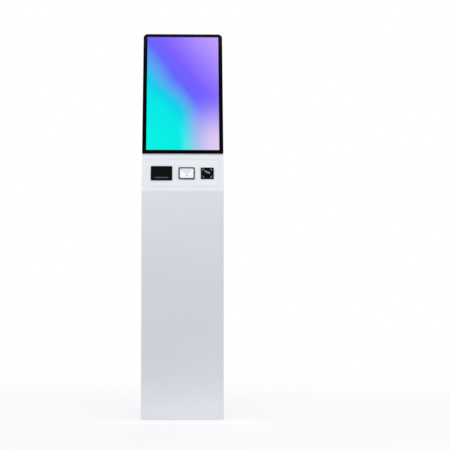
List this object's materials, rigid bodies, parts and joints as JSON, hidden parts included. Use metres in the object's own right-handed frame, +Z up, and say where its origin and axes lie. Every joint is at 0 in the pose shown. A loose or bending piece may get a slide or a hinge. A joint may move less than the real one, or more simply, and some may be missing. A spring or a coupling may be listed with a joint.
{
  "type": "information kiosk",
  "caption": "Free-standing information kiosk with a leaning touch display, a ticket printer, a card reader and a code scanner on a flat steel base.",
  "frame": {"origin": "middle of the footprint, on the floor", "axes": "+Z up, -Y to the user in front of the display, +X to the user's right"},
  "size_m": [0.328, 0.463, 1.5846],
  "materials": {
    "white_paint": "satin powder coat",
    "black_glass": "gloss, black printed border",
    "display": "lit picture, blue to green to violet",
    "black_plastic": "fine satin texture",
    "grey_plastic": "fine satin texture",
    "white_plastic": "semi gloss",
    "bare_steel": "brushed",
    "chrome": "polished",
    "ballast_steel": "black primer",
    "rubber": "matt",
    "nylon": "natural",
    "brass": "machined",
    "paper": "smooth",
    "head_ceramic": "matt",
    "board_green": "gloss"
  },
  "bodies": {
    "cabinet": {"base_cover": "white_paint", "base_plate": "ballast_steel", "base_spacers": "bare_steel", "column_bolts": "bare_steel", "cabinet_floor": "white_paint", "front_panel": "white_paint", "side_panel_left": "white_paint", "side_panel_right": "white_paint", "top_cap": "white_paint", "cross_rails": "white_paint", "back_panel": "white_paint", "back_panel_screws": "bare_steel", "hinge_pins": "bare_steel", "hinge_frame_leaves": "bare_steel", "touch_glass": "black_glass", "glass_tape": "rubber", "display_panel": "display", "display_brackets": "bare_steel", "controller_box": "ballast_steel", "power_inlet": "black_plastic", "power_supply": "bare_steel", "wiring_loom": "rubber", "module_plate": "white_paint", "printer_bezel": "black_plastic", "printer_bucket": "grey_plastic", "cover_pin": "bare_steel", "stepper_motor": "bare_steel", "thermal_head": "head_ceramic", "tear_bar": "grey_plastic", "reader_frame": "grey_plastic", "reader_pad": "white_plastic", "reader_housing": "grey_plastic", "scanner_window": "black_glass", "scanner_housing": "grey_plastic", "scan_engine": "board_green"},
    "upper_door": {"upper_door": "white_paint", "upper_door_leaf": "bare_steel", "upper_lock_housing": "chrome", "upper_lock_nut": "bare_steel"},
    "upper_lock": {"upper_lock_cylinder": "chrome", "upper_lock_cam": "bare_steel"},
    "lower_door": {"lower_door": "white_paint", "lower_door_leaf": "bare_steel", "lower_lock_housing": "chrome", "lower_lock_nut": "bare_steel"},
    "lower_lock": {"lower_lock_cylinder": "chrome", "lower_lock_cam": "bare_steel"},
    "printer_cover": {"printer_cover": "black_plastic"},
    "platen": {"platen_roller": "rubber", "platen_gear": "nylon"},
    "idler": {"idler_gear": "nylon"},
    "pinion": {"motor_pinion": "brass"},
    "paper_roll": {"paper_roll": "paper"},
    "release_button": {"release_button": "black_plastic"},
    "feed_button": {"feed_button": "black_plastic"},
    "power_rocker": {"power_rocker": "black_plastic"},
    "foot_front_left": {"foot_front_left": "rubber"},
    "foot_front_right": {"foot_front_right": "rubber"},
    "foot_rear_left": {"foot_rear_left": "rubber"},
    "foot_rear_right": {"foot_rear_right": "rubber"}
  },
  "joints": [
    {"name": "upper_door_swing", "type": "hinge", "parent": "cabinet", "child": "upper_door", "pos_m": [0, -0.09952, 1.08006], "axis": [-1, 0, 0], "range_deg": [0, 140]},
    {"name": "upper_lock_turn", "type": "hinge", "parent": "upper_door", "child": "upper_lock", "pos_m": [0, 0.0477, 1.48513], "axis": [0, -0.9397, 0.342], "range_deg": [0, 90]},
    {"name": "lower_door_swing", "type": "hinge", "parent": "cabinet", "child": "lower_door", "pos_m": [0, -0.1483, 0.78597], "axis": [-1, 0, 0], "range_deg": [0, 140]},
    {"name": "lower_lock_turn", "type": "hinge", "parent": "lower_door", "child": "lower_lock", "pos_m": [0, -0.10462, 1.0505], "axis": [0, -0.9865, 0.1637], "range_deg": [0, 90]},
    {"name": "foot_front_left_height", "type": "slide", "parent": "cabinet", "child": "foot_front_left", "axis": [0, 0, -1], "range_m": [0, 0.012]},
    {"name": "foot_front_right_height", "type": "slide", "parent": "cabinet", "child": "foot_front_right", "axis": [0, 0, -1], "range_m": [0, 0.012]},
    {"name": "foot_rear_left_height", "type": "slide", "parent": "cabinet", "child": "foot_rear_left", "axis": [0, 0, -1], "range_m": [0, 0.012]},
    {"name": "foot_rear_right_height", "type": "slide", "parent": "cabinet", "child": "foot_rear_right", "axis": [0, 0, -1], "range_m": [0, 0.012]},
    {"name": "printer_cover_swing", "type": "hinge", "parent": "cabinet", "child": "printer_cover", "pos_m": [-0.085, -0.19811, 1.0042], "axis": [-1, 0, 0], "range_deg": [0, 75]},
    {"name": "paper_roll_spin", "type": "hinge", "parent": "cabinet", "child": "paper_roll", "pos_m": [-0.085, -0.16877, 0.97809], "axis": [1, 0, 0], "continuous": true},
    {"name": "platen_spin", "type": "hinge", "parent": "printer_cover", "child": "platen", "pos_m": [-0.085, -0.20252, 0.97016], "axis": [1, 0, 0], "continuous": true},
    {"name": "idler_spin", "type": "hinge", "parent": "cabinet", "child": "idler", "pos_m": [-0.085, -0.19115, 0.96602], "axis": [1, 0, 0], "continuous": true},
    {"name": "pinion_spin", "type": "hinge", "parent": "cabinet", "child": "pinion", "pos_m": [-0.085, -0.18742, 0.97626], "axis": [1, 0, 0], "continuous": true},
    {"name": "release_button_press", "type": "slide", "parent": "cabinet", "child": "release_button", "axis": [0, 0.9397, -0.342], "range_m": [0, 0.0012], "stiffness_N_per_m": 400},
    {"name": "feed_button_press", "type": "slide", "parent": "cabinet", "child": "feed_button", "axis": [0, 0.9397, -0.342], "range_m": [0, 0.0008], "stiffness_N_per_m": 400},
    {"name": "power_rocker_tip", "type": "hinge", "parent": "cabinet", "child": "power_rocker", "pos_m": [0, -0.1485, 0.142], "axis": [-1, 0, 0], "range_deg": [0, 16]}
  ],
  "couplings": [
    {"joint": "platen_spin", "follows": "paper_roll_spin", "ratio": -3.3333},
    {"joint": "idler_spin", "follows": "paper_roll_spin", "ratio": 2.2222},
    {"joint": "pinion_spin", "follows": "paper_roll_spin", "ratio": -4.4444}
  ]
}
